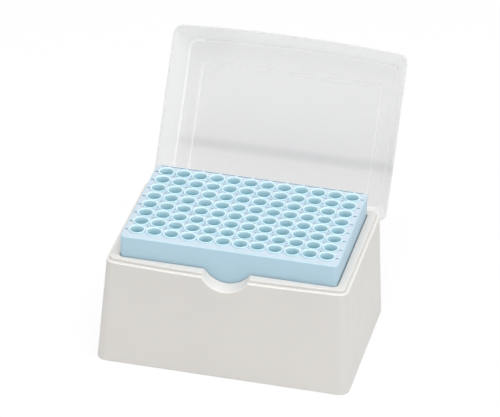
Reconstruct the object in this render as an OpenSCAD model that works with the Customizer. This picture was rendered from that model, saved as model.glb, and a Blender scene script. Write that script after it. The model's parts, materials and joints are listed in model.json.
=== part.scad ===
// Hinged box of 96 pipette tips: a flared base, a rack with its tips, and a clear lid that stands open.
// The origin is the middle of the underside, +Z is up and the hinge is at the back, on +Y.

/* [Tip pattern] */
// Tips along the box
tip_cols = 12; // [4:1:16]
// Tips from front to back
tip_rows = 8; // [2:1:12]
// Distance between neighbouring tip centres
pitch = 9; // [8.9:0.1:12]

/* [Tips] */
// Length of a tip from its rim to its point
tip_len = 68.5; // [50:0.5:90]
// Outer diameter of the rim that rests on the rack
tip_rim_d = 8.7; // [8.4:0.1:8.8]
// Height of the rim
tip_rim_h = 1; // [0.6:0.1:2]
// Outer diameter of the tip just below its rim
tip_neck_d = 7.9; // [7.8:0.1:8]
// Bore at the mouth
tip_mouth_d = 7.3; // [6.5:0.1:7.4]
// Wall of the tip at its waist
tip_wall = 0.6; // [0.4:0.05:0.8]
// Depth of the neck, which grips the pipette
tip_neck_len = 14; // [8:1:18]
// Outer diameter at the foot of the neck
tip_waist_d = 6.6; // [5.6:0.1:7]
// Length of the slim end of the tip
tip_end_len = 16; // [8:1:20]
// Outer diameter where the slim end begins
tip_end_d = 3; // [2.4:0.1:3.6]
// Outer diameter of the point
tip_point_d = 1.4; // [1.2:0.1:1.8]
// Bore of the point
tip_point_bore = 0.7; // [0.5:0.1:0.8]

/* [Rack] */
// Border of the deck beside the outer columns
rack_side = 2.6; // [2:0.1:8]
// Border of the deck before the front row and behind the back row
rack_front = 3.3; // [2:0.1:8]
// Height of the rack
rack_h = 26; // [22:0.5:40]
// Thickness of the deck
deck_t = 2; // [1.2:0.1:3]
// Thickness of the skirt
rack_wall = 1.8; // [1.2:0.1:2.2]
// Corner radius of the rack
rack_r = 2.5; // [1.5:0.1:4]
// Play of a tip's neck in its hole, on each side
hole_gap = 0.2; // [0.1:0.05:0.3]
// Length of the small sunk mark at each end of a row
mark_len = 1.8; // [0.8:0.1:2]
// Width of a mark
mark_w = 0.9; // [0.4:0.1:1.2]
// Width of the groove along the back edge
groove_w = 0.7; // [0.4:0.1:1]
// Land between the groove and the back edge
groove_land = 0.8; // [0.6:0.1:1]
// Width of the bridge across the groove behind each column
bridge_w = 1.4; // [0.8:0.1:2]
// Depth of the marks and of the groove
mark_depth = 1; // [0.4:0.1:1]

/* [Base] */
// Height of the lip above the shoulder
lip_h = 1.6; // [1:0.1:3]
// Width of the shoulder outside the lip
shoulder_w = 1.7; // [1.6:0.1:3]
// Width of the lip's flat top at the sides
lip_side = 4.4; // [4:0.1:10]
// Width of the lip's flat top at the front and back
lip_front = 2.6; // [2.4:0.1:10]
// Room between the tips' points and the floor of the well
tip_clear = 1.5; // [0.5:0.1:6]
// Play between the rack and the base, on each side
rack_gap = 0.4; // [0.2:0.1:1]
// How far the rack's deck stands above the lip
rack_stand = 11.8; // [8:0.2:20]
// How far each side wall leans out on its way down
flare_side = 3.3; // [1:0.1:8]
// How far the front and back walls lean out on their way down
flare_front = 2.5; // [1:0.1:8]
// Bow of the shoulder's front edge
front_bow = 2.4; // [0.5:0.1:6]
// Corner radius at the underside
base_r = 5.5; // [4:0.1:10]
// Corner radius at the shoulder
shoulder_r = 4.5; // [3.5:0.1:8]
// Thickness of the outer wall
base_wall = 2; // [1.4:0.1:2.2]
// Thickness of the well that holds the tips
well_wall = 1.4; // [1:0.1:1.6]
// Thickness of the top flange between the outer wall and the well
flange_t = 2.2; // [1.6:0.1:4]
// Thickness of the well's floor
floor_t = 2; // [1.2:0.1:2.5]
// Thickness of a rib that carries the rack
rib_t = 1.6; // [1:0.1:3]
// How far a rib reaches under the rack's skirt
rib_reach = 3; // [2.6:0.1:3.4]

/* [Thumb notch] */
// Radius of the notch in the front lip
notch_r = 14; // [8:0.5:20]
// Depth of the notch below the lip's top, at the rack
notch_depth = 6.5; // [4:0.5:7.5]
// Fall of the notch towards the front, in degrees
notch_fall = 15; // [5:1:25]
// Thickness of the rim of the notch
notch_wall = 2; // [1.4:0.1:3]

/* [Lid] */
// Room between the tips' rims and the closed lid
lid_clear = 4.5; // [1.5:0.1:20]
// Thickness of the lid
lid_wall = 1.1; // [0.8:0.1:1.2]
// How far the lid's rim stands out past the shoulder
lid_over = 0.4; // [0.3:0.1:0.8]
// Gap between the closed lid's rim and the shoulder
lid_gap = 0.3; // [0.2:0.1:0.6]
// How far the lid's walls lean in on their way up
lid_lean = 5; // [2:0.1:5.5]
// Size of the slope between the lid's walls and its top
lid_edge = 1.5; // [1:0.1:3]
// Distance from the top's side edges to the raised panel
panel_side = 8.6; // [4:0.1:16]
// Distance from the top's front edge to the raised panel
panel_front = 11.8; // [4:0.1:20]
// Distance from the top's back edge to the raised panel
panel_back = 7; // [4:0.1:20]
// Height of the raised panel
panel_h = 0.8; // [0.4:0.1:1.5]
// Corner radius of the raised panel
panel_r = 3; // [2:0.1:6]
// Angle at which the open lid rests, measured from closed
open_angle = 119; // [90:1:125]

/* [Hinge] */
// Distance from the middle of the box to each hinge
hinge_x = 40; // [20:1:44]
// Depth of the hinge line below the shoulder
hinge_drop = 9.6; // [8:0.1:14]
// Distance of the hinge line behind the shoulder's back edge
hinge_back = 2.8; // [2.8:0.1:4]
// Length of the lid's hinge barrel
barrel_len = 12; // [8:1:20]
// Radius of the lid's hinge barrel
barrel_r = 2; // [1.8:0.1:2]
// Radius of the stub pins on the barrel
pin_r = 1.2; // [1:0.1:1.3]
// How far a pin reaches into its ear
pin_reach = 2.6; // [1.5:0.1:3.2]
// Running clearance around a pin
pin_gap = 0.05; // [0.02:0.01:0.1]
// Thickness of the ears that hold the pins
ear_t = 3.4; // [2.4:0.1:5]
// Radius of the ears
ear_r = 2.8; // [2.6:0.1:3]
// Play between the barrel and its ears, on each side
ear_gap = 0.3; // [0.2:0.1:0.6]
// Thickness of the arm between the barrel and the lid
arm_t = 1.4; // [1:0.1:1.5]

/* [Hidden] */
function two_digits(i) = str(i < 10 ? "0" : "", i);
function column_name(i) = str("tips_column_", two_digits(i));

$fn = 48;
corner_steps = 8;
bow_steps = 14;
over = 1;
sink = 0.5;
land = 0.8;

// Rack and tips
rack_w = tip_cols * pitch + 2 * rack_side;
rack_d = tip_rows * pitch + 2 * rack_front;
rim_z = floor_t + tip_clear + tip_len;
deck_z = rim_z - tip_rim_h;
rack_z = deck_z - rack_h;
hole_d = tip_neck_d + 2 * hole_gap;
mark_side = (pitch / 2 + rack_side - tip_rim_d / 2) / 2;
groove_len = rack_w - 2 * rack_r;
groove_y = rack_d / 2 - groove_land - groove_w / 2;

// Base: the shoulder carries the lid, and the well holds the rack
lip_z = deck_z - rack_stand;
base_h = lip_z - lip_h;
well_w = rack_w + 2 * rack_gap;
well_d = rack_d + 2 * rack_gap;
well_r = rack_r + rack_gap;
lip_w = well_w + 2 * lip_side;
lip_d = well_d + 2 * lip_front;
top_w = lip_w + 2 * shoulder_w;
top_d = lip_d + 2 * shoulder_w;
foot_w = top_w + 2 * flare_side;
foot_d = top_d + 2 * flare_front;
lip_r = shoulder_r - shoulder_w;
rib_cols = 4;
rib_rows = 3;

// Lid, drawn closed and then turned open about the hinge line
lid_w = top_w + 2 * lid_over;
lid_d = top_d + 2 * lid_over;
lid_r = shoulder_r + lid_over;
lid_z = base_h + lid_gap;
lid_top = rim_z + lid_clear + lid_wall;
lid_rim = 1;
lid_slice = 0.3;
panel_w = lid_w - 2 * (lid_lean + panel_side);
panel_d = lid_d - 2 * lid_lean - panel_front - panel_back;
panel_y = (panel_front - panel_back) / 2;
hinge_y = top_d / 2 + hinge_back;
hinge_z = base_h - hinge_drop;
arm_y = hinge_y - arm_t / 2 - 0.8;
web_h = 4;

function column_x(i) = (i - (tip_cols + 1) / 2) * pitch;
function row_y(j) = ((tip_rows + 1) / 2 - j) * pitch;

// Points of a quarter circle that starts at angle a
function quarter(x, y, r, a) = [
    for (i = [0:corner_steps])
        [x + r * cos(a + 90 * i / corner_steps), y + r * sin(a + 90 * i / corner_steps)]
];

// Points between the two front corners
function front_points(w, d, r) = [
    for (i = [1:bow_steps - 1])
        [(w / 2 - r) * (2 * i / bow_steps - 1), -d / 2]
];

function round_points(w, d, r) = concat(
    quarter(w / 2 - r, d / 2 - r, r, 0),
    quarter(r - w / 2, d / 2 - r, r, 90),
    quarter(r - w / 2, r - d / 2, r, 180),
    front_points(w, d, r),
    quarter(w / 2 - r, r - d / 2, r, 270)
);

// Rounded rectangle whose front edge bows out
function bowed_points(w, d, r, bow) = [
    for (p = round_points(w, d, r))
        [p.x, p.y - (p.y < 0 ? bow * (1 - pow(2 * p.x / w, 2)) : 0)]
];

module slab(w, d, r, z, h, bow = 0) {
    translate([0, 0, z])
        linear_extrude(h)
            polygon(bowed_points(w, d, r, bow));
}

// Solid that runs from the underside's outline to the shoulder's outline
module flared_block(inset, z0, z1) {
    hull() {
        slab(foot_w - 2 * inset, foot_d - 2 * inset, base_r - inset, z0, land);
        slab(top_w - 2 * inset, top_d - 2 * inset, shoulder_r - inset, z1 - land, land, front_bow);
    }
}

// Round cutter along the notch, lying on a slope that falls to the front
module notch_round(r) {
    translate([0, -rack_d / 2, lip_z - notch_depth + notch_r / cos(notch_fall)])
        rotate([90 + notch_fall, 0, 0])
            cylinder(r = r, h = 60, center = true);
}

module notch_rim() {
    intersection() {
        flared_block(0, 0, base_h);
        notch_round(notch_r + notch_wall);
        translate([-foot_w / 2, -foot_d, base_h / 2])
            cube([foot_w, foot_d - well_d / 2, base_h]);
    }
}

module shell() {
    difference() {
        union() {
            flared_block(0, 0, base_h);
            slab(lip_w, lip_d, lip_r, base_h - sink, lip_h + sink, front_bow);
        }
        flared_block(base_wall, -over, base_h - flange_t);
        slab(well_w, well_d, well_r, -over, lip_z + 2 * over);
    }
}

module well() {
    difference() {
        slab(well_w + 2 * well_wall, well_d + 2 * well_wall, well_r + well_wall, 0, base_h - flange_t + sink);
        slab(well_w, well_d, well_r, floor_t, base_h);
    }
}

// Rib that stands against the wall of the well at distance y
module rib(x, y) {
    translate([x - rib_t / 2, y - rib_reach, floor_t - sink])
        cube([rib_t, rib_reach + sink, rack_z - floor_t + sink]);
}

// Ribs stand in the well, outside the tips, and carry the rack's skirt
module ribs() {
    for (turn = [0, 180]) {
        rotate(turn)
            for (k = [1:rib_cols])
                rib((k - (rib_cols + 1) / 2) * rack_w / rib_cols, well_d / 2);
        rotate(turn + 90)
            for (k = [1:rib_rows])
                rib((k - (rib_rows + 1) / 2) * rack_d / rib_rows, well_w / 2);
    }
}

// Pair of ears on the back wall, bored for one barrel's pins
module ears() {
    reach = hinge_y - top_d / 2 + base_wall / 2;
    for (side = [-1, 1]) {
        x = side * (barrel_len / 2 + ear_gap) + (side < 0 ? -ear_t : 0);
        difference() {
            union() {
                translate([x, hinge_y, hinge_z])
                    rotate([0, 90, 0])
                        cylinder(r = ear_r, h = ear_t);
                translate([x, hinge_y - reach, hinge_z - ear_r])
                    cube([ear_t, reach, 2 * ear_r]);
            }
            translate([x - over, hinge_y, hinge_z])
                rotate([0, 90, 0])
                    cylinder(r = pin_r + pin_gap, h = ear_t + 2 * over);
        }
    }
}

module base() {
    color([0.92, 0.91, 0.89]) {
        difference() {
            union() {
                shell();
                well();
                notch_rim();
            }
            notch_round(notch_r);
        }
        ribs();
        for (side = [-1, 1])
            translate([side * hinge_x, 0, 0])
                ears();
    }
}

// Sunk marks at both ends of each row
module marks() {
    for (j = [1:tip_rows], side = [-1, 1])
        translate([side * (rack_w / 2 - mark_side), row_y(j), deck_z])
            cube([mark_len, mark_w, 2 * mark_depth], center = true);
}

// Groove along the back edge, with a bridge behind each column
module groove() {
    difference() {
        translate([0, groove_y, deck_z])
            cube([groove_len, groove_w, 2 * mark_depth], center = true);
        for (i = [1:tip_cols])
            translate([column_x(i), groove_y, deck_z])
                cube([bridge_w, groove_w + 2 * over, 2 * mark_depth + 2 * over], center = true);
    }
}

module rack() {
    color([0.74, 0.88, 0.94])
        difference() {
            slab(rack_w, rack_d, rack_r, rack_z, rack_h);
            slab(rack_w - 2 * rack_wall, rack_d - 2 * rack_wall, rack_r - rack_wall, rack_z - over, rack_h - deck_t + over);
            for (i = [1:tip_cols], j = [1:tip_rows])
                translate([column_x(i), row_y(j), deck_z - deck_t - over])
                    cylinder(d = hole_d, h = deck_t + 2 * over);
            marks();
            groove();
        }
}

// One tip, hanging from its rim
module tip() {
    rotate_extrude()
        polygon([
            [tip_mouth_d / 2, 0],
            [tip_rim_d / 2, 0],
            [tip_rim_d / 2, -tip_rim_h],
            [tip_neck_d / 2, -tip_rim_h],
            [tip_waist_d / 2, -tip_neck_len],
            [tip_end_d / 2, tip_end_len - tip_len],
            [tip_point_d / 2, -tip_len],
            [tip_point_bore / 2, -tip_len],
            [tip_end_d / 2 - tip_wall, tip_end_len - tip_len],
            [tip_waist_d / 2 - tip_wall, -tip_neck_len]
        ]);
}

module tips_column(i) {
    color([0.78, 0.92, 0.97])
        for (j = [1:tip_rows])
            translate([column_x(i), row_y(j), rim_z])
                tip();
}

// Block with leaning walls and a sloped edge around its top
module lid_block(inset, z0, z1) {
    w = lid_w - 2 * inset;
    d = lid_d - 2 * inset;
    r = lid_r - inset;
    in = 2 * lid_lean;
    edge = 2 * lid_edge;
    hull() {
        slab(w, d, r, z0, lid_rim, front_bow);
        slab(w - in, d - in, r, z1 - lid_edge - lid_slice, lid_slice, front_bow);
        slab(w - in - edge, d - in - edge, r, z1 - lid_slice, lid_slice, front_bow);
    }
}

// Barrel with its two stub pins, and the arm that joins it to the lid's back wall
module lid_hinge() {
    pins_len = barrel_len + 2 * (ear_gap + pin_reach);
    translate([-barrel_len / 2, hinge_y, hinge_z])
        rotate([0, 90, 0])
            cylinder(r = barrel_r, h = barrel_len);
    translate([-pins_len / 2, hinge_y, hinge_z])
        rotate([0, 90, 0])
            cylinder(r = pin_r, h = pins_len);
    translate([-barrel_len / 2, arm_y, hinge_z])
        cube([barrel_len, arm_t, lid_z + web_h - hinge_z]);
    translate([-barrel_len / 2, lid_d / 2 - lid_lean, lid_z])
        cube([barrel_len, arm_y + sink - lid_d / 2 + lid_lean, web_h]);
}

module raised_panel(inset, z0) {
    translate([0, panel_y, 0])
        slab(panel_w - 2 * inset, panel_d - 2 * inset, panel_r - inset, z0, panel_h + sink);
}

module lid_closed() {
    difference() {
        union() {
            lid_block(0, lid_z, lid_top);
            raised_panel(0, lid_top - sink);
            for (side = [-1, 1])
                translate([side * hinge_x, 0, 0])
                    lid_hinge();
        }
        lid_block(lid_wall, lid_z - lid_rim, lid_top - lid_wall);
        raised_panel(lid_wall, lid_top - lid_wall - sink);
    }
}

module lid() {
    color([0.9, 0.91, 0.92, 0.6])
        translate([0, hinge_y, hinge_z])
            rotate([-open_angle, 0, 0])
                translate([0, -hinge_y, -hinge_z])
                    lid_closed();
}

base();
rack();
lid();
for (i = [1:tip_cols])
    tips_column(i);
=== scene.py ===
"""Looks of a hinged box of pipette tips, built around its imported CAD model."""

import json
import math

import bmesh
import bpy
from bpy.props import FloatProperty, FloatVectorProperty, PointerProperty
from mathutils import Matrix, Vector


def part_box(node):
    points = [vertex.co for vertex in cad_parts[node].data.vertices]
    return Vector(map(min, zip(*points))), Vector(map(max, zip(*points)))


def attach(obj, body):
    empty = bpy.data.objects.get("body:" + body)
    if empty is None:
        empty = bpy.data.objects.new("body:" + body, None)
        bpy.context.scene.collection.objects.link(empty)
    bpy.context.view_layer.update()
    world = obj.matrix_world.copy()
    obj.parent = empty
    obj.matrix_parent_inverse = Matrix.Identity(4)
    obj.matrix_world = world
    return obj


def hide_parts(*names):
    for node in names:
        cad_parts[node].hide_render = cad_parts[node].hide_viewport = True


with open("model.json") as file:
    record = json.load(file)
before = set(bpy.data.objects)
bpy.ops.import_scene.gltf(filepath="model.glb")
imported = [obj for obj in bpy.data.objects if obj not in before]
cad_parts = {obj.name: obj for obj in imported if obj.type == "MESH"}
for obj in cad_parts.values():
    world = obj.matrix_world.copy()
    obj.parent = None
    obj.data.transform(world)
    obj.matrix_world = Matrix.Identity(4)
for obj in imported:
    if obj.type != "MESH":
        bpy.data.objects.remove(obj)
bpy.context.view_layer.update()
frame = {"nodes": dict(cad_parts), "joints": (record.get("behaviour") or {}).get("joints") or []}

bl_info = {
    "name": "Pipette Tip Box",
    "version": (1, 0, 0),
    "blender": (4, 5, 0),
    "location": "3D View > Sidebar > Tip Box",
    "description": "Builds a hinged box of pipette tips with its rack, tips and clear lid",
    "category": "Object",
}

# Measures of the CAD model
BASE_LOW, BASE_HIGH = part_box("base")
RACK_LOW, RACK_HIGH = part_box("rack")
TIP_LOW, TIP_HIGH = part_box("tips_column_01")
COLUMNS = sorted(n for n in frame["nodes"] if n.startswith("tips_column_"))
HINGE = Vector(frame["joints"][0]["pos_m"])
CLOSED = math.radians(frame["joints"][0]["range_deg"][1])

# How finely round shapes are cut
CORNER_STEPS = 10
HOLE_STEPS = 24
TIP_STEPS = 28
PIN_STEPS = 24
BORE_STEPS = 20

# How long fronts are cut: finely out to the reach of the thumb notch, coarsely beyond it
NOTCH_CUTS = 96
SIDE_CUTS = 10
FRONT_CUTS = NOTCH_CUTS + 2 * SIDE_CUTS
NOTCH_REACH = 0.0175
LID_CUTS = 24
WALL_CUTS = 6

# Corner radii, seen from above
WELL_CORNER = 0.0029
LIP_CORNER = 0.0028
SHOULDER_CORNER = 0.0045
FOOT_CORNER = 0.0055
PANEL_CORNER = 0.003
LID_CORNER = 0.0049

# Width of the lip's flat top at the sides and at the front
LIP_SIDE = 0.0044
LIP_FRONT = 0.0026

# Upright bands where the base's walls meet the ground and the lid's walls meet the shoulder
FOOT_BAND = 0.0008
RIM_BAND = 0.001

# From the middle to each hinge, and from there to the inner face of an ear
HINGE_SIDE = 0.04
EAR_SIDE = 0.0063

# A hair's breadth, which keeps lines apart where a deck is filled with triangles
HAIR = 0.00005

# Points closer together than this are one, and edges sharper than this stay sharp
MERGE_DISTANCE = 2e-6
SHARP_ANGLE = math.radians(35)

# How far towards white a full painted highlight on an edge goes
HIGHLIGHT_SHARE = 0.45

# Each loop of the base that is rounded: radius, steps, and how far its painted highlight goes
# towards white
BASE_ROUNDINGS = (
    ("shoulder", 0.0006, 4, 0.45),
    ("lip_rim", 0.0005, 4, 0.1),
    ("lip_foot", 0.0003, 2, 0.0),
    ("well_rim", 0.0002, 2, 0.0),
    ("foot", 0.0004, 3, 0.0),
    ("skirt_foot", 0.0004, 2, 0.0),
    ("well_foot", 0.001, 3, 0.0),
    ("box_foot", 0.0006, 3, 0.0),
)

# The painted highlight along the rack's deck edge, and the roundings of its skirt's edges
DECK_EDGE_HIGHLIGHT = 0.15
SKIRT_OUTER_EDGE = 0.0003
SKIRT_INNER_EDGE = 0.0002

# Painted highlights and painted light on the forms of the clear lid, as shares of the way to
# white, those in pairs at the left and elsewhere
PANEL_STEP_WHITE = 1.0
BACK_WALL_WHITE = 0.4
WALL_WHITE = 0.85
OUTER_EDGE_WHITE = (0.35, 0.35)
INNER_EDGE_WHITE = (1.0, 0.28)
OUTER_STEP_WHITE = (0.6, 0.4)
INNER_STEP_WHITE = (1.0, 0.9)

# Refraction of the plastics, where noise mostly lies, and the scales of its uses
PLASTIC_IOR = 1.49
NOISE_RANGE = (0.3, 0.7)
DRIFT_SCALE = 25.0
GLOSS_SCALE = 160.0

# Painted shade of the nooks between the tips, as a share of the rack's colour
NOOK_SHADE = 0.6

# Camera: azimuth, elevation and roll in degrees, shift across and up, distance, and lens
VIEW_ANGLES = (11.8276, 29.4208, 2.1903)
VIEW_SHIFT = (0.00228, 0.00211)
VIEW_DISTANCE = 2.05768
SENSOR_WIDTH = 36.0
FOCAL_LENGTH = 288.3


def length(name, description, default):
    """A length that the sidebar offers."""
    return FloatProperty(
        name=name,
        description=description,
        default=default,
        min=0.0,
        precision=5,
        subtype="DISTANCE",
        unit="LENGTH",
    )


def tint(name, description, default):
    """A colour that the sidebar offers."""
    return FloatVectorProperty(
        name=name,
        description=description,
        default=default,
        size=3,
        min=0.0,
        max=1.0,
        subtype="COLOR",
    )


class TipBoxBaseSizes(bpy.types.PropertyGroup):
    foot_width: length("Foot Width", "Width at the foot", BASE_HIGH.x - BASE_LOW.x)
    foot_depth: length("Foot Depth", "Depth at the foot", -2 * BASE_LOW.y)
    top_width: length("Shoulder Width", "Width at the shoulder", 0.1262)
    top_depth: length("Shoulder Depth", "Depth at the shoulder", 0.088)
    lip_width: length("Lip Width", "Width of the lip", 0.1228)
    lip_depth: length("Lip Depth", "Depth of the lip", 0.0846)
    lip_rise: length("Lip Rise", "Height of the lip above the shoulder", 0.0016)
    bow: length("Bow", "How far the front bows out", 0.0024)
    wall: length("Wall", "Thickness of the outer wall", 0.002)
    well_wall: length("Well Wall", "Thickness of the well's wall", 0.0014)
    floor: length("Floor", "Thickness of the well's floor", 0.002)
    flange: length("Flange", "Thickness of the top", 0.0022)
    notch_radius: length("Notch Radius", "Radius of the thumb notch", 0.014)
    notch_depth: length("Notch Depth", "Depth of the thumb notch", 0.0065)
    notch_fall: FloatProperty(
        name="Notch Fall",
        description="Slope of the thumb notch towards the front",
        default=math.radians(15),
        subtype="ANGLE",
        unit="ROTATION",
    )


class TipBoxRackSizes(bpy.types.PropertyGroup):
    wall: length("Skirt", "Thickness of the skirt", 0.0018)
    deck: length("Deck", "Thickness of the deck", 0.002)
    corner: length("Corner", "Radius of the upright corners", 0.0025)
    edge: length("Edge", "Rounding of the deck's edge", 0.0007)
    hole: length("Hole", "Diameter of the holes", 0.0083)
    pitch: length("Pitch", "Distance between neighbouring holes", 0.009)
    mark: length("Mark", "Length of the sunk marks", 0.0017)
    mark_width: length("Mark Width", "Width of the sunk marks", 0.0009)
    groove: length("Groove", "Width of the groove along the back edge", 0.0007)
    land: length("Land", "Land between the groove and the back edge", 0.0008)
    bridge: length("Bridge", "Width of the bridges across the groove", 0.0014)
    sunk: length("Sunk", "Depth of the marks and of the groove", 0.001)


class TipBoxTipSizes(bpy.types.PropertyGroup):
    rim: length("Rim", "Diameter of the rim", 0.0087)
    mouth: length("Mouth", "Diameter of the mouth", 0.0073)
    rim_height: length("Rim Height", "Height of the rim", 0.001)
    neck: length("Neck", "Diameter under the rim", 0.0079)
    wall: length("Wall", "Thickness of the wall", 0.0006)


class TipBoxLidSizes(bpy.types.PropertyGroup):
    width: length("Width", "Width of the rim", 0.127)
    depth: length("Depth", "Depth of the rim", 0.0888)
    height: length("Height", "Height of the closed lid", 0.0197)
    lean: length("Lean", "How far the walls lean in", 0.005)
    wall: length("Wall", "Thickness of the lid", 0.0011)
    edge: length("Edge", "Rounding between the walls and the top", 0.0016)
    panel_width: length("Panel Width", "Width of the raised panel", 0.0998)
    panel_depth: length("Panel Depth", "Depth of the raised panel", 0.06)
    panel_rise: length("Panel Rise", "Height of the raised panel", 0.0008)
    barrel: length("Barrel", "Length of the hinge barrels", 0.012)


class TipBoxColours(bpy.types.PropertyGroup):
    base: tint("Base", "Colour of the base", (0.645, 0.626, 0.6))
    rack: tint("Rack", "Colour of the rack", (0.42, 0.595, 0.7))
    # Painted shade with a reflected lavender tint: the deck's colour between the tips
    deck: tint("Deck", "Colour of the deck between the tips", (0.51, 0.595, 0.67))
    tips: tint("Tips", "Colour of the tips", (0.62, 0.82, 0.895))
    # Painted shade deep in the tips' bores
    bore: tint("Bore", "Colour deep in the tips", (0.17, 0.54, 0.64))
    lid: tint("Lid", "Colour of the lid", (0.7, 0.7, 0.71))


class TipBoxSettings(bpy.types.PropertyGroup):
    base: PointerProperty(type=TipBoxBaseSizes)
    rack: PointerProperty(type=TipBoxRackSizes)
    tips: PointerProperty(type=TipBoxTipSizes)
    lid: PointerProperty(type=TipBoxLidSizes)
    colours: PointerProperty(type=TipBoxColours)


# Shapes


def only(geometry, kind):
    """The items of one kind out of what a mesh operator returns."""
    return [item for item in geometry if isinstance(item, kind)]


def unique(items):
    """The items in their order, each of them once."""
    return list(dict.fromkeys(items))


def centred(count, pitch):
    """Places along a line, a pitch apart, with their middle at zero."""
    return [(k - (count - 1) / 2) * pitch for k in range(count)]


def rows_between(low, high, settings):
    """How many tips stand in a column that reaches from low to high."""
    return round((high.y - low.y - settings.tips.rim) / settings.rack.pitch) + 1


def inset(size, distance):
    """Width, depth and corner radius of a rounded rectangle that lies further in."""
    width, depth, radius = size
    return width - 2 * distance, depth - 2 * distance, radius - distance


def flat_sheet(bm, matrix):
    """The corners of one face, two units square before the matrix."""
    made = bmesh.ops.create_grid(bm, x_segments=1, y_segments=1, size=1.0, matrix=matrix)
    return made["verts"]


def rounded_border(bm, sheet, corners, radius):
    """Round these corners of a sheet, drop its face and return the edges around it."""
    others = set(bm.verts) - set(sheet)
    bmesh.ops.bevel(
        bm,
        geom=corners,
        offset=radius,
        offset_type="OFFSET",
        segments=CORNER_STEPS,
        profile=0.5,
        affect="VERTICES",
        material=-1,
    )
    face = next(f for f in bm.faces if not others.intersection(f.verts))
    border = list(face.edges)
    bmesh.ops.delete(bm, geom=[face], context="FACES_ONLY")
    return border


def outline(bm, width, depth, radius, z, bow=0.0, y=0.0, parts=FRONT_CUTS):
    """A closed loop of edges around a rounded rectangle whose front may bow out.

    The front is cut into even parts, or into FRONT_CUTS that crowd at the thumb notch.
    """
    place = Matrix.Translation((0, y, z)) @ Matrix.Diagonal((width / 2, depth / 2, 1, 1))
    sheet = flat_sheet(bm, place)
    loop = rounded_border(bm, sheet, sheet, radius)
    if parts > 1:
        front = min(loop, key=lambda e: (e.verts[0].co.y + e.verts[1].co.y, -e.calc_length()))
        split = bmesh.ops.subdivide_edges(bm, edges=[front], cuts=parts - 1)
        loop.remove(front)
        fresh = only([*split["geom_split"], *split["geom_inner"]], bmesh.types.BMEdge)
        loop = unique(loop + fresh)
        if parts == FRONT_CUTS:
            crowd_at_notch(unique(v for e in fresh for v in e.verts), width / 2 - radius)
    for vert in unique(v for e in loop for v in e.verts):
        if vert.co.y < y:
            vert.co.y -= bow * (1 - (2 * vert.co.x / width) ** 2)
    return loop


def crowd_at_notch(verts, half):
    """Draw most of the points of a straight front to the thumb notch in its middle."""
    knee = NOTCH_CUTS / FRONT_CUTS
    for vert in verts:
        at = vert.co.x / half
        if abs(at) <= knee:
            vert.co.x = at / knee * NOTCH_REACH
        else:
            share = (abs(at) - knee) / (1 - knee)
            vert.co.x = math.copysign(NOTCH_REACH + share * (half - NOTCH_REACH), at)


def join_loops(bm, loops):
    """Bridge each loop to the next, held well apart meanwhile so that none of them twists."""
    for first, second in zip(loops, loops[1:]):
        verts = unique(v for e in second for v in e.verts)
        bmesh.ops.translate(bm, vec=(0, 0, 1), verts=verts)
        bmesh.ops.bridge_loops(bm, edges=first + second)
        bmesh.ops.translate(bm, vec=(0, 0, -1), verts=verts)


def close_loop(bm, loop):
    """Fill a loop with one face."""
    bmesh.ops.contextual_create(bm, geom=loop)


def circle(bm, radius, steps, matrix):
    """The edges of a circle."""
    made = bmesh.ops.create_circle(
        bm, cap_ends=False, segments=steps, radius=radius, matrix=matrix
    )
    return unique(e for v in made["verts"] for e in v.link_edges)


def turn(bm, verts, edges, centre, axis, steps):
    """Turn a profile about an axis into a round shape."""
    bmesh.ops.spin(
        bm,
        geom=verts + edges,
        cent=centre,
        axis=axis,
        angle=2 * math.pi,
        steps=steps,
        use_merge=True,
        use_duplicate=False,
    )


def round_edges(bm, edges, offset, segments=3):
    """Round these edges and return the new faces."""
    made = bmesh.ops.bevel(
        bm,
        geom=edges,
        offset=offset,
        offset_type="OFFSET",
        segments=segments,
        profile=0.5,
        affect="EDGES",
        clamp_overlap=False,
        material=-1,
    )
    return made["faces"]


def soft_min(a, b, reach):
    """The lower of two heights, blended where they meet."""
    nearness = max(reach - abs(a - b), 0.0) / reach
    return min(a, b) - nearness * nearness * reach / 4


def rounded_block(bm, size, centre, rounding=0.0002):
    """A box with rounded edges."""
    place = Matrix.Translation(centre) @ Matrix.Diagonal((*size, 1))
    block = bmesh.ops.create_cube(bm, size=1.0, matrix=place)
    edges = unique(e for v in block["verts"] for e in v.link_edges)
    round_edges(bm, edges, rounding, 2)


def place_piece(name, bm, material, body, nodes):
    """Turn the mesh into a piece that stands for these CAD nodes."""
    bmesh.ops.remove_doubles(bm, verts=bm.verts, dist=MERGE_DISTANCE)
    bmesh.ops.recalc_face_normals(bm, faces=bm.faces)
    mesh = bpy.data.meshes.new(name)
    bm.to_mesh(mesh)
    bm.free()
    mesh.materials.append(material)
    mesh.shade_smooth()
    mesh.set_sharp_from_angle(angle=SHARP_ANGLE)
    piece = bpy.data.objects.new(name, mesh)
    bpy.context.scene.collection.objects.link(piece)
    normals = piece.modifiers.new("Weighted Normals", "WEIGHTED_NORMAL")
    normals.keep_sharp = True
    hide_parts(*nodes)
    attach(piece, body)


# Finishes


def start_material(name):
    """A material with nothing in its tree but a shader and its output."""
    material = bpy.data.materials.new(name)
    material.use_nodes = True
    tree = material.node_tree
    tree.nodes.clear()
    output = tree.nodes.new("ShaderNodeOutputMaterial")
    shader = tree.nodes.new("ShaderNodeBsdfPrincipled")
    tree.links.new(shader.outputs["BSDF"], output.inputs["Surface"])
    return material, tree, shader


def coordinates(tree):
    """Where a point lies in its piece."""
    return tree.nodes.new("ShaderNodeTexCoord").outputs["Object"]


def axes(tree):
    """The coordinates one by one, under the names X, Y and Z."""
    parts = tree.nodes.new("ShaderNodeSeparateXYZ")
    tree.links.new(coordinates(tree), parts.inputs[0])
    return parts.outputs


def attribute(tree, name):
    """A value that the piece's own mesh carries."""
    node = tree.nodes.new("ShaderNodeAttribute")
    node.attribute_name = name
    return node.outputs["Fac"]


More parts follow.
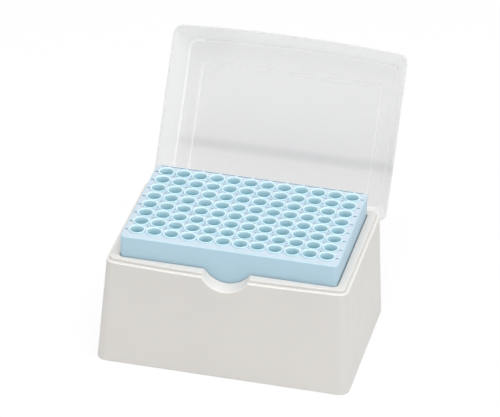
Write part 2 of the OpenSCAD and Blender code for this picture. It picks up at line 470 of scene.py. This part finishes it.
def calculate(tree, operation, first, second):
    """The first value combined with the second, which may be a plain number."""
    node = tree.nodes.new("ShaderNodeMath")
    node.operation = operation
    tree.links.new(first, node.inputs[0])
    if isinstance(second, bpy.types.NodeSocket):
        tree.links.new(second, node.inputs[1])
    else:
        node.inputs[1].default_value = second
    return node.outputs[0]


def map_range(tree, value, start, end, low=0.0, high=1.0):
    """A value that goes from low to high while the given one goes from start to end."""
    node = tree.nodes.new("ShaderNodeMapRange")
    limits = {"From Min": start, "From Max": end, "To Min": low, "To Max": high}
    for name, number in limits.items():
        node.inputs[name].default_value = number
    tree.links.new(value, node.inputs["Value"])
    return node.outputs["Result"]


def blend(tree, share, first, second):
    """The first colour, going over to the second with the share."""
    mix = tree.nodes.new("ShaderNodeMix")
    mix.data_type = "RGBA"
    tree.links.new(share, mix.inputs[0])
    for socket, colour in ((mix.inputs[6], first), (mix.inputs[7], second)):
        if isinstance(colour, bpy.types.NodeSocket):
            tree.links.new(colour, socket)
        else:
            socket.default_value = (*colour, 1)
    return mix.outputs[2]


def noise(tree, scale, detail=2.0):
    """Noise on object coordinates."""
    texture = tree.nodes.new("ShaderNodeTexNoise")
    texture.inputs["Scale"].default_value = scale
    texture.inputs["Detail"].default_value = detail
    tree.links.new(coordinates(tree), texture.inputs["Vector"])
    return texture.outputs["Fac"]


def drift(tree, scale, colour, low, high=1.0):
    """The colour, drifting slowly between a low and a high share of itself."""
    ramp = tree.nodes.new("ShaderNodeValToRGB")
    for stop, position, share in zip(ramp.color_ramp.elements, NOISE_RANGE, (low, high)):
        stop.position = position
        stop.color = (*(c * share for c in colour), 1)
    tree.links.new(noise(tree, scale), ramp.inputs["Fac"])
    return ramp.outputs["Color"]


def finish(tree, shader, colour, rough, grain, gloss_scale=GLOSS_SCALE):
    """Give plastic its colour, a gloss that varies a little, and the grain of its mould.

    Rough is the lowest and highest roughness, and grain is its scale and depth.
    """
    grain_scale, grain_depth = grain
    tree.links.new(colour, shader.inputs["Base Color"])
    gloss = map_range(tree, noise(tree, gloss_scale), *NOISE_RANGE, *rough)
    tree.links.new(gloss, shader.inputs["Roughness"])
    shader.inputs["IOR"].default_value = PLASTIC_IOR
    bump = tree.nodes.new("ShaderNodeBump")
    bump.inputs["Strength"].default_value = 1.0
    bump.inputs["Distance"].default_value = grain_depth
    tree.links.new(noise(tree, grain_scale, detail=3.0), bump.inputs["Height"])
    tree.links.new(bump.outputs["Normal"], shader.inputs["Normal"])


def nooks(tree, pitch, last):
    """One painted shadow spot in the nook between each four tips, else nothing, out to the last
    tip's centre.

    The spot lies a little behind the nook's middle and fades out from its core.
    """
    core, radius, behind, margin = 0.0004, 0.0012, 0.001, 0.0001
    half, (x, y) = pitch / 2, [reach - margin for reach in last]
    at = coordinates(tree)
    for operation, *values in (
        ("ADD", (0, -behind, 0)),
        ("MINIMUM", (x, y, 1)),
        ("MAXIMUM", (-x, -y, -1)),
        ("WRAP", (half, half, 1), (-half, -half, -1)),
        ("MULTIPLY", (1, 1, 0)),
        ("LENGTH",),
    ):
        step = tree.nodes.new("ShaderNodeVectorMath")
        step.operation = operation
        for socket, value in zip(step.inputs[1:], values):
            socket.default_value = value
        tree.links.new(at, step.inputs[0])
        at = step.outputs["Value" if operation == "LENGTH" else "Vector"]
    return map_range(tree, at, radius, core)


def moulded_plastic(name, colour, top, rough, grain, pattern=None):
    """Moulded plastic with a fine grain, painted highlights on marked edges and a top of its own
    colour.

    On the rack that top is a painted shade with a reflected lavender tint, and where a pattern of
    tips is given the top darkens with painted shadow spots in the nooks between them.
    """
    material, tree, shader = start_material(name)
    # Painted highlight: the colour drawn towards white where the edge attribute is set
    painted_highlight = [c + HIGHLIGHT_SHARE * (1 - c) for c in colour]
    plain = drift(tree, DRIFT_SCALE, colour, low=0.988, high=1.012)
    sides = blend(tree, attribute(tree, "edge"), plain, painted_highlight)
    if pattern:
        # Painted shade in the nooks between the tips
        dark = [c * NOOK_SHADE for c in colour]
        top = blend(tree, nooks(tree, *pattern), top, dark)
    # The top's colour, on the rack a painted shade with a reflected lavender tint
    whole = blend(tree, attribute(tree, "top"), sides, top)
    finish(tree, shader, whole, rough, grain)
    return material


def tip_plastic(name, colours):
    """Blue plastic with a painted shade that deepens down the bore of each tip."""
    material, tree, shader = start_material(name)
    # Painted shade: the bore darkens from just under the rim to a few millimetres down
    pale_z, deep_z = TIP_HIGH.z - 0.0014, TIP_HIGH.z - 0.0055
    depth = map_range(tree, axes(tree)["Z"], pale_z, deep_z)
    share = calculate(tree, "MULTIPLY", depth, attribute(tree, "bore"))
    outside = drift(tree, DRIFT_SCALE, colours.tips, low=0.985)
    whole = blend(tree, share, outside, colours.bore)
    finish(tree, shader, whole, rough=(0.29, 0.37), grain=(900.0, 0.000004))
    return material


def clear_plastic(name, colour, alpha):
    """Thin clear plastic with a soft shine, with painted highlights along its edges and steps and
    painted light on its walls.
    """
    material, tree, shader = start_material(name)
    shader.inputs["Alpha"].default_value = alpha
    plain = drift(tree, 18.0, colour, low=0.98)
    # Painted highlights and painted light, drawn towards white where the edge attribute is set
    whole = blend(tree, attribute(tree, "edge"), plain, (1.0, 1.0, 1.0))
    finish(tree, shader, whole, rough=(0.29, 0.35), grain=(60.0, 0.000004), gloss_scale=120.0)
    return material


# Pieces


class TIPBOX_OT_base(bpy.types.Operator):
    """Build the flared base with its lip, well, thumb notch and hinge ears"""

    bl_idname = "tipbox.base"
    bl_label = "Base"

    def execute(self, context):
        settings = context.scene.tip_box
        s = settings.base
        lip_z = BASE_HIGH.z
        top_z = lip_z - s.lip_rise
        flange_z = top_z - s.flange
        well = (s.lip_width - 2 * LIP_SIDE, s.lip_depth - 2 * LIP_FRONT, WELL_CORNER)
        lip = (s.lip_width, s.lip_depth, LIP_CORNER)
        shoulder = (s.top_width, s.top_depth, SHOULDER_CORNER)
        foot = (s.foot_width, s.foot_depth, FOOT_CORNER)
        bm = bmesh.new()
        loops = {
            "well_foot": outline(bm, *well, s.floor),
            "well_rim": outline(bm, *well, lip_z),
            "lip_rim": outline(bm, *lip, lip_z, s.bow),
            "lip_foot": outline(bm, *lip, top_z, s.bow),
            "shoulder": outline(bm, *shoulder, top_z, s.bow),
            "wall_top": outline(bm, *shoulder, top_z - 2 * FOOT_BAND, s.bow),
            "wall_foot": outline(bm, *foot, FOOT_BAND),
            "foot": outline(bm, *foot, 0.0),
            "skirt_foot": outline(bm, *inset(foot, s.wall), 0.0),
            "skirt_top": outline(bm, *inset(shoulder, s.wall), flange_z, s.bow),
            "box_top": outline(bm, *inset(well, -s.well_wall), flange_z),
            "box_foot": outline(bm, *inset(well, -s.well_wall), 0.0),
        }
        join_loops(bm, list(loops.values()))
        close_loop(bm, loops["well_foot"])
        close_loop(bm, loops["box_foot"])
        wall = [
            e
            for v in unique(v for e in loops["wall_foot"] for v in e.verts)
            for e in v.link_edges
            if e.other_vert(v).co.z > top_z / 2
        ]
        bmesh.ops.subdivide_edges(bm, edges=wall, cuts=WALL_CUTS, use_grid_fill=True)
        painted_highlight = bm.faces.layers.float.new("edge")
        # Painted highlights on the rounded shoulder and lip rim, by the shares in the rounding
        # table
        for loop, radius, steps, share in BASE_ROUNDINGS:
            for face in round_edges(bm, loops[loop], radius, steps):
                face[painted_highlight] = share
        well_width, well_depth, _ = well
        self.sink_notch(bm, s, lip_z, top_z, well_depth)
        self.add_ribs(bm, s, well_width, well_depth)
        for side in (-1, 1):
            self.add_ears(bm, s, side * HINGE_SIDE)
        colour = settings.colours.base
        material = moulded_plastic(
            "Ivory Plastic", colour, colour, rough=(0.38, 0.46), grain=(1400.0, 0.000012)
        )
        place_piece("base_body", bm, material, "box", ["base"])
        return {"FINISHED"}

    @staticmethod
    def sink_notch(bm, s, lip_z, top_z, well_depth):
        """Lower the front of the rim into a round notch that slopes to the front.

        The underside stays a thickness below the notch, and rounded edges keep their fall.
        """
        fall = s.notch_fall
        axis_z = lip_z - s.notch_depth + s.notch_radius / math.cos(fall)
        well_y = -well_depth / 2
        lip_y = -s.lip_depth / 2
        under_z = top_z - s.flange + 0.0003
        lowest_z, thickness, softness = 0.0495, 0.002, 0.0007
        for vert in bm.verts:
            x, y, z = vert.co
            if y > well_y + 0.0001 or abs(x) >= s.notch_radius:
                continue
            drop = math.sqrt(s.notch_radius**2 - x * x)
            notch = axis_z + (math.sin(fall) * (y - RACK_LOW.y) - drop) / math.cos(fall)
            if z < under_z:
                if z > lowest_z:
                    vert.co.z = min(z, notch - thickness)
                continue
            edge = 0.0
            if y > well_y - 0.0004 and z > lip_z - 0.0006:
                edge = lip_z - z
            elif y < lip_y and z < top_z:
                edge = top_z - z
            vert.co.z = soft_min(z, notch - edge, softness)

    @staticmethod
    def add_ribs(bm, s, well_width, well_depth):
        """Ribs that carry the rack, four on each long side and three on each short one."""
        thick, long, rooted = 0.0016, 0.0035, 0.0005
        height = RACK_LOW.z - s.floor
        rack_width, rack_depth = RACK_HIGH.x - RACK_LOW.x, RACK_HIGH.y - RACK_LOW.y
        centre_z = s.floor + height / 2
        from_wall = long / 2 - rooted
        for side in (-1, 1):
            y = side * (well_depth / 2 - from_wall)
            for x in centred(4, rack_width / 4):
                rounded_block(bm, (thick, long, height), (x, y, centre_z))
            x = side * (well_width / 2 - from_wall)
            for y in centred(3, rack_depth / 3):
                rounded_block(bm, (long, thick, height), (x, y, centre_z))

    @staticmethod
    def add_ears(bm, s, x):
        """A pair of bored ears for one hinge barrel."""
        radius, bore, thick = 0.0028, 0.00125, 0.0034
        root, end = s.top_depth / 2 - s.wall / 2, HINGE.y + radius
        upright = Matrix.Rotation(math.radians(90), 4, "Y")
        for side in (-1, 1):
            near = x + side * EAR_SIDE
            sheet = flat_sheet(
                bm,
                Matrix.Translation((near, (root + end) / 2, HINGE.z))
                @ upright
                @ Matrix.Diagonal((radius, (end - root) / 2, 1, 1)),
            )
            far_corners = [v for v in sheet if v.co.y > HINGE.y]
            rim = rounded_border(bm, sheet, far_corners, radius * 0.999)
            place = Matrix.Translation((near, HINGE.y, HINGE.z)) @ upright
            ring = circle(bm, bore, BORE_STEPS, place)
            made = bmesh.ops.triangle_fill(bm, edges=rim + ring, use_beauty=True)
            faces = only(made["geom"], bmesh.types.BMFace)
            far = bmesh.ops.extrude_face_region(bm, geom=faces, use_keep_orig=True)
            verts = only(far["geom"], bmesh.types.BMVert)
            bmesh.ops.translate(bm, verts=verts, vec=(side * thick, 0, 0))


class TIPBOX_OT_rack(bpy.types.Operator):
    """Build the rack: a skirted deck with its holes and sunk marks"""

    bl_idname = "tipbox.rack"
    bl_label = "Rack"

    def execute(self, context):
        settings = context.scene.tip_box
        s, colours = settings.rack, settings.colours
        low_z, deck_z = RACK_LOW.z, RACK_HIGH.z
        whole = (RACK_HIGH.x - RACK_LOW.x, RACK_HIGH.y - RACK_LOW.y, s.corner)
        hollow = inset(whole, s.wall)
        edge = min(s.edge, s.land - 2 * HAIR)
        bm = bmesh.new()
        loops = [
            outline(bm, *inset(whole, edge + HAIR), deck_z, parts=1),
            outline(bm, *whole, deck_z, parts=1),
            outline(bm, *whole, low_z, parts=1),
            outline(bm, *hollow, low_z, parts=1),
            outline(bm, *hollow, deck_z - s.deck, parts=1),
        ]
        join_loops(bm, loops)
        for name in ("edge", "top"):
            bm.faces.layers.float.new(name)
        painted_highlight, covered = (bm.faces.layers.float[name] for name in ("edge", "top"))
        # Painted highlight along the deck's rounded edge
        for face in round_edges(bm, loops[1], edge, 4):
            face[painted_highlight] = DECK_EDGE_HIGHLIGHT
        round_edges(bm, loops[2], SKIRT_OUTER_EDGE, 2)
        round_edges(bm, loops[3], SKIRT_INNER_EDGE, 2)
        top, under = loops[0], loops[4]
        columns = centred(len(COLUMNS), s.pitch)
        rows = centred(rows_between(TIP_LOW, TIP_HIGH, settings), s.pitch)
        for x in columns:
            for y in rows:
                place = Matrix.Translation((x, y, deck_z))
                edges = circle(bm, s.hole / 2, HOLE_STEPS, place)
                top = top + edges
                under = under + self.pull_down(bm, edges, s.deck)
        for x, y, width, depth in self.recesses(settings, whole, columns, rows):
            place = Matrix.Translation((x, y, deck_z))
            sheet = flat_sheet(bm, place @ Matrix.Diagonal((width / 2, depth / 2, 1, 1)))
            face = sheet[0].link_faces[0]
            edges = list(face.edges)
            bmesh.ops.delete(bm, geom=[face], context="FACES_ONLY")
            top = top + edges
            close_loop(bm, self.pull_down(bm, edges, s.sunk))
        deck = bmesh.ops.triangle_fill(bm, edges=top, use_beauty=True, normal=(0, 0, 1))
        # The deck's faces take the deck colour, a painted shade with a reflected lavender tint
        for face in only(deck["geom"], bmesh.types.BMFace):
            face[covered] = 1.0
        bmesh.ops.triangle_fill(bm, edges=under, use_beauty=True, normal=(0, 0, -1))
        material = moulded_plastic(
            "Blue Rack Plastic",
            colours.rack,
            colours.deck,
            rough=(0.36, 0.44),
            grain=(1500.0, 0.00001),
            pattern=(s.pitch, (columns[-1], rows[-1])),
        )
        place_piece("rack_body", bm, material, "box", ["rack"])
        return {"FINISHED"}

    @staticmethod
    def pull_down(bm, edges, height):
        """Extrude a loop straight down and return the new loop."""
        made = bmesh.ops.extrude_edge_only(bm, edges=edges)["geom"]
        verts = only(made, bmesh.types.BMVert)
        bmesh.ops.translate(bm, verts=verts, vec=(0, 0, -height))
        return [e for e in only(made, bmesh.types.BMEdge) if set(e.verts) <= set(verts)]

    @staticmethod
    def recesses(settings, whole, columns, rows):
        """Place and size of the marks beside each row, and of the lengths of the back groove.

        The marks follow a very slight curve, because the deck is filled with triangles and
        no three corners may be in line.
        """
        s = settings.rack
        width, depth, corner = whole
        from_rim, curve, middle = 0.0002, 3e-6, 3.3
        beside = columns[-1] + settings.tips.rim / 2 + from_rim + s.mark / 2
        for row, y in enumerate(rows):
            for end in (-1, 1):
                x = end * (beside - (row - middle) ** 2 * curve)
                yield x, y, s.mark, s.mark_width
        reach = width / 2 - corner
        groove_y = depth / 2 - s.land - s.groove / 2
        starts = [-reach] + [x + s.bridge / 2 for x in columns]
        stops = [x - s.bridge / 2 for x in columns] + [reach]
        for start, stop in zip(starts, stops):
            yield (start + stop) / 2, groove_y, stop - start, s.groove


class TIPBOX_OT_tips(bpy.types.Operator):
    """Build the twelve columns of tips that hang in the rack"""

    bl_idname = "tipbox.tips"
    bl_label = "Tips"

    def execute(self, context):
        settings = context.scene.tip_box
        s = settings.tips
        material = tip_plastic("Blue Tip Plastic", settings.colours)
        for name in COLUMNS:
            low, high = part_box(name)
            bm = bmesh.new()
            bm.verts.layers.float.new("bore")
            for row in range(rows_between(low, high, settings)):
                y = low.y + s.rim / 2 + row * settings.rack.pitch
                self.add_tip(bm, s, Vector(((low.x + high.x) / 2, y, high.z)), high.z - low.z)
            place_piece(name + "_body", bm, material, "box", [name])
        return {"FINISHED"}

    @staticmethod
    def add_tip(bm, s, top, tall):
        """One tip, turned from its profile: up the bore, over the rim and down the outside."""
        rim, mouth, neck = s.rim / 2, s.mouth / 2, s.neck / 2
        waist, waist_z = 0.0033, -0.014
        slim, slim_z = 0.0015, 0.016 - tall
        bore = [
            (0.00035, -tall),
            (slim - s.wall, slim_z),
            (waist - s.wall, waist_z),
            (mouth - 0.00023, -0.001),
            (mouth - 0.00014, -0.00045),
        ]
        outside = [
            (mouth + 0.00003, -0.00014),
            (mouth + 0.00024, 0.0),
            (rim - 0.00024, 0.0),
            (rim - 0.00007, -0.0001),
            (rim, -0.0003),
            (rim, -s.rim_height),
            (neck, -s.rim_height),
            (waist, waist_z),
            (slim, slim_z),
            (0.0007, -tall),
        ]
        verts = [bm.verts.new(top + Vector((r, 0, z))) for r, z in bore + outside]
        # Mark the bore for its painted shade
        for vert in verts[: len(bore)]:
            vert[bm.verts.layers.float["bore"]] = 1.0
        edges = [bm.edges.new(pair) for pair in zip(verts, verts[1:] + verts[:1])]
        turn(bm, verts, edges, top, (0, 0, 1), TIP_STEPS)


class TIPBOX_OT_lid(bpy.types.Operator):
    """Build the clear lid, standing open on its hinge"""

    bl_idname = "tipbox.lid"
    bl_label = "Lid"

    def execute(self, context):
        settings = context.scene.tip_box
        s, base = settings.lid, settings.base
        play, panel_y = 0.0003, 0.0024
        rim_z = BASE_HIGH.z - base.lip_rise + play
        top_z = rim_z + s.height
        slope = s.lean / (s.height - 0.0025)
        panel_size = (s.panel_width, s.panel_depth, PANEL_CORNER)
        rim_size = (s.width, s.depth, LID_CORNER)
        bm = bmesh.new()

        def skin(distance, top, panel):
            """The loops of one skin of the shell, from its raised panel down to its rim."""
            lean = slope * (top - rim_z - RIM_BAND)
            leaning = (s.width - 2 * lean, s.depth - 2 * lean, LID_CORNER)
            return [
                outline(bm, *inset(size, distance), z, bow, y, LID_CUTS)
                for size, z, bow, y in (
                    (panel_size, panel, 0.0, panel_y),
                    (panel_size, top, 0.0, panel_y),
                    (leaning, top, base.bow, 0.0),
                    (rim_size, rim_z + RIM_BAND, base.bow, 0.0),
                    (rim_size, rim_z, base.bow, 0.0),
                )
            ]

        outer = skin(0.0, top_z, top_z + s.panel_rise)
        inner = skin(s.wall, top_z - s.wall, top_z + s.panel_rise - s.wall)
        join_loops(bm, outer + inner[::-1])
        close_loop(bm, outer[0])
        close_loop(bm, inner[0])
        # Painted highlights along the lid's edges and steps, and painted light on its walls
        white = bm.faces.layers.float.new("edge")
        self.whiten_walls(bm, s, white, panel_y)
        beside = -s.panel_width / 2
        inner_edge = s.edge * 0.6
        self.whiten(round_edges(bm, outer[2], s.edge, 5), white, OUTER_EDGE_WHITE, beside)
        self.whiten(round_edges(bm, inner[2], inner_edge, 4), white, INNER_EDGE_WHITE, beside)
        for loops, shares in ((outer, OUTER_STEP_WHITE), (inner, INNER_STEP_WHITE)):
            step = round_edges(bm, loops[0], 0.0004) + round_edges(bm, loops[1], 0.0003)
            self.whiten(step, white, shares, -s.panel_width / 3)
            round_edges(bm, loops[4], 0.0003)
        for side in (-1, 1):
            self.add_hinge(bm, s, side * HINGE_SIDE, rim_z)
        opened = Matrix.Rotation(-CLOSED, 3, "X")
        bmesh.ops.rotate(bm, verts=bm.verts, cent=HINGE, matrix=opened)
        material = clear_plastic("Clear Lid Plastic", settings.colours.lid, 0.3)
        place_piece("lid_body", bm, material, "cover", ["lid"])
        return {"FINISHED"}

    @staticmethod
    def whiten(faces, white, shares, beside):
        """Whiten faces as a painted highlight, by the first share where they lie left of a place,
        else by the second.
        """
        for face in faces:
            left = face.calc_center_median().x < beside
            face[white] = shares[0] if left else shares[1]

    @staticmethod
    def whiten_walls(bm, s, white, panel_y):
        """Whiten the faces that stand steeply as painted light: the walls and the step around the
        panel.
        """
        steep, margin = 0.7, 0.001
        for face in bm.faces:
            if abs(face.normal.z) >= steep or len(face.verts) != 4:
                continue
            x, y, _ = face.calc_center_median()
            in_width = abs(x) < s.panel_width / 2 + margin
            in_depth = abs(y - panel_y) < s.panel_depth / 2 + margin
            if in_width and in_depth:
                face[white] = PANEL_STEP_WHITE
            elif y > s.depth / 2 - s.lean:
                face[white] = BACK_WALL_WHITE
            else:
                face[white] = WALL_WHITE

    @staticmethod
    def add_hinge(bm, s, x, rim_z):
        """A barrel with two stub pins, and the arm that joins it to the lid."""
        radius, pin, pin_length, edge = 0.002, 0.0012, 0.0029, 0.0002
        half = s.barrel / 2
        reach = half + pin_length
        right = [
            (half - edge, radius),
            (half, radius - edge),
            (half, pin),
            (reach - edge, pin),
            (reach, pin - edge),
            (reach, 0.0),
        ]
        profile = [(-at, r) for at, r in right[::-1]] + right
        centre = Vector((x, HINGE.y, HINGE.z))
        verts = [bm.verts.new(centre + Vector((at, 0, r))) for at, r in profile]
        edges = [bm.edges.new(pair) for pair in zip(verts, verts[1:])]
        turn(bm, verts, edges, centre, (1, 0, 0), PIN_STEPS)
        arm_width, arm_thick, arm_inward = s.barrel - 0.0004, 0.0014, 0.0015
        low_z, high_z = HINGE.z - 0.0003, rim_z + 0.004
        middle = (x, HINGE.y - arm_inward, (low_z + high_z) / 2)
        rounded_block(bm, (arm_width, arm_thick, high_z - low_z), middle)


class TIPBOX_OT_stage(bpy.types.Operator):
    """Set up the floor, the soft light and the camera"""

    bl_idname = "tipbox.stage"
    bl_label = "Stage"

    def execute(self, context):
        scene = context.scene
        scene.view_settings.view_transform = "Standard"
        self.add_floor(scene)
        self.add_world(scene)
        white, warm, cool = (1, 1, 1), (1.0, 0.95, 0.88), (0.92, 0.97, 1.0)
        foot, middle = (0, 0, 0), (0, 0, 0.04)
        for name, place, target, size, power, colour in (
            ("Overhead Softbox", (0.1, -0.3, 1.3), foot, 1.2, 14.0, white),
            ("Front Softbox", (-0.3, -1.3, 0.8), middle, 1.0, 1.5, warm),
            ("Side Softbox", (1.4, -0.3, 0.9), middle, 0.8, 4.2, cool),
        ):
            self.add_lamp(scene, name, place, target, size, power, colour)
        self.add_camera(scene)
        return {"FINISHED"}

    @staticmethod
    def add_floor(scene):
        """A matt floor a hair below the box, which looks nearly as white as the background."""
        half, below, glow_share = 6.0, 0.0002, 0.85
        bm = bmesh.new()
        flat_sheet(bm, Matrix.Translation((0, 0, -below)) @ Matrix.Diagonal((half, half, 1, 1)))
        mesh = bpy.data.meshes.new("floor")
        bm.to_mesh(mesh)
        bm.free()
        floor = bpy.data.objects.new("floor", mesh)
        scene.collection.objects.link(floor)
        material = bpy.data.materials.new("Pale Floor")
        material.use_nodes = True
        tree = material.node_tree
        tree.nodes.clear()
        output = tree.nodes.new("ShaderNodeOutputMaterial")
        matte = tree.nodes.new("ShaderNodeBsdfDiffuse")
        matte.inputs["Color"].default_value = (0.9, 0.9, 0.9, 1)
        glow = tree.nodes.new("ShaderNodeEmission")
        glow.inputs["Strength"].default_value = 1.0
        tree.links.new(TIPBOX_OT_stage.behind_lid(tree), glow.inputs["Color"])
        share = calculate(tree, "MULTIPLY", TIPBOX_OT_stage.looked_at(tree), glow_share)
        mix = tree.nodes.new("ShaderNodeMixShader")
        tree.links.new(share, mix.inputs["Fac"])
        tree.links.new(matte.outputs[0], mix.inputs[1])
        tree.links.new(glow.outputs[0], mix.inputs[2])
        tree.links.new(mix.outputs[0], output.inputs["Surface"])
        mesh.materials.append(material)

    @staticmethod
    def looked_at(tree):
        """One where the eye, a shine or clear plastic shows the surroundings, else nothing."""
        path = tree.nodes.new("ShaderNodeLightPath")
        seen = path.outputs["Is Camera Ray"]
        for name in ("Is Glossy Ray", "Is Transmission Ray"):
            seen = calculate(tree, "MAXIMUM", seen, path.outputs[name])
        return seen

    @staticmethod
    def behind_lid(tree):
        """White, but seen through the clear lid a table in painted soft shade with a painted
        shadow line.
        """
        near_y, far_y, outer_x, inner_x = 0.15, 0.35, -0.089, -0.072
        place = axes(tree)
        away = map_range(tree, place["Y"], near_y, far_y)
        across = map_range(tree, place["X"], outer_x, inner_x)
        ramp = tree.nodes.new("ShaderNodeValToRGB")
        ramp.color_ramp.interpolation = "B_SPLINE"
        # Painted shade of the table, with a dark painted shadow line across it
        stops = (
            (0.0, 0.82, 0.81, 0.8),
            (0.19, 0.78, 0.775, 0.77),
            (0.235, 0.36, 0.36, 0.37),
            (0.28, 0.73, 0.73, 0.73),
            (0.6, 0.8, 0.8, 0.8),
            (1.0, 0.95, 0.95, 0.95),
        )
        for _ in stops[2:]:
            ramp.color_ramp.elements.new(0.5)
        for element, (at, *shade) in zip(ramp.color_ramp.elements, stops):
            element.position = at
            element.color = (*shade, 1)
        tree.links.new(away, ramp.inputs["Fac"])
        path = tree.nodes.new("ShaderNodeLightPath")
        through = calculate(tree, "MINIMUM", path.outputs["Transparent Depth"], 1.0)
        # The painted shade fades out towards the left
        shade = blend(tree, across, (0.8, 0.8, 0.8), ramp.outputs["Color"])
        return blend(tree, through, (1, 1, 1), shade)

    @staticmethod
    def add_world(scene):
        """Soft light from all around, and pure white wherever the background shows."""
        world = bpy.data.worlds.new("Studio")
        world.use_nodes = True
        scene.world = world
        tree = world.node_tree
        tree.nodes.clear()
        output = tree.nodes.new("ShaderNodeOutputWorld")
        mix = tree.nodes.new("ShaderNodeMixShader")
        tree.links.new(TIPBOX_OT_stage.looked_at(tree), mix.inputs["Fac"])
        for socket, strength in zip(mix.inputs[1:], (0.5, 1.0)):
            background = tree.nodes.new("ShaderNodeBackground")
            background.inputs["Color"].default_value = (1, 1, 1, 1)
            background.inputs["Strength"].default_value = strength
            tree.links.new(background.outputs[0], socket)
        tree.links.new(mix.outputs[0], output.inputs["Surface"])

    @staticmethod
    def add_lamp(scene, name, place, target, size, power, colour):
        """A round softbox that points at its target."""
        data = bpy.data.lights.new(name, "AREA")
        data.shape = "DISK"
        data.size = size
        data.energy = power
        data.color = colour
        lamp = bpy.data.objects.new(name, data)
        lamp.location = place
        lamp.rotation_mode = "QUATERNION"
        away = Vector(place) - Vector(target)
        lamp.rotation_quaternion = away.to_track_quat("Z", "Y")
        scene.collection.objects.link(lamp)

    @staticmethod
    def add_camera(scene):
        """A long lens that looks down on the tips from the front right."""
        azimuth, elevation, roll = (math.radians(a) for a in VIEW_ANGLES)
        level = math.cos(elevation)
        back = Vector(
            (math.sin(azimuth) * level, -math.cos(azimuth) * level, math.sin(elevation))
        )
        right = (-back).cross(Vector((0, 0, 1))).normalized()
        up = right.cross(-back)
        across = math.cos(roll) * right + math.sin(roll) * up
        upward = -math.sin(roll) * right + math.cos(roll) * up
        shift = across * VIEW_SHIFT[0] + upward * VIEW_SHIFT[1]
        place = Vector((0, 0, TIP_HIGH.z)) + back * VIEW_DISTANCE + shift
        facing = Matrix((across, upward, back)).transposed().to_4x4()
        data = bpy.data.cameras.new("Camera")
        data.sensor_width = SENSOR_WIDTH
        data.lens = FOCAL_LENGTH
        camera = bpy.data.objects.new("Camera", data)
        camera.matrix_world = Matrix.Translation(place) @ facing
        scene.collection.objects.link(camera)
        scene.camera = camera


class TIPBOX_PT_panel(bpy.types.Panel):
    bl_label = "Pipette Tip Box"
    bl_idname = "TIPBOX_PT_panel"
    bl_space_type = "VIEW_3D"
    bl_region_type = "UI"
    bl_category = "Tip Box"

    def draw(self, context):
        layout = self.layout
        settings = context.scene.tip_box
        for operator in PIECE_OPERATORS:
            layout.operator(operator.bl_idname)
        for group in (settings.base, settings.rack, settings.tips, settings.lid, settings.colours):
            box = layout.box()
            for name in group.bl_rna.properties.keys():
                if name not in {"rna_type", "name"}:
                    box.prop(group, name)


PIECE_OPERATORS = (
    TIPBOX_OT_base,
    TIPBOX_OT_rack,
    TIPBOX_OT_tips,
    TIPBOX_OT_lid,
    TIPBOX_OT_stage,
)
CLASSES = (
    TipBoxBaseSizes,
    TipBoxRackSizes,
    TipBoxTipSizes,
    TipBoxLidSizes,
    TipBoxColours,
    TipBoxSettings,
    *PIECE_OPERATORS,
    TIPBOX_PT_panel,
)


def register():
    for cls in CLASSES:
        bpy.utils.register_class(cls)
    bpy.types.Scene.tip_box = PointerProperty(type=TipBoxSettings)


def unregister():
    del bpy.types.Scene.tip_box
    for cls in reversed(CLASSES):
        bpy.utils.unregister_class(cls)


def main():
    register()
    bpy.ops.tipbox.base()
    bpy.ops.tipbox.rack()
    bpy.ops.tipbox.tips()
    bpy.ops.tipbox.lid()
    bpy.ops.tipbox.stage()


if __name__ == "__main__":
    main()
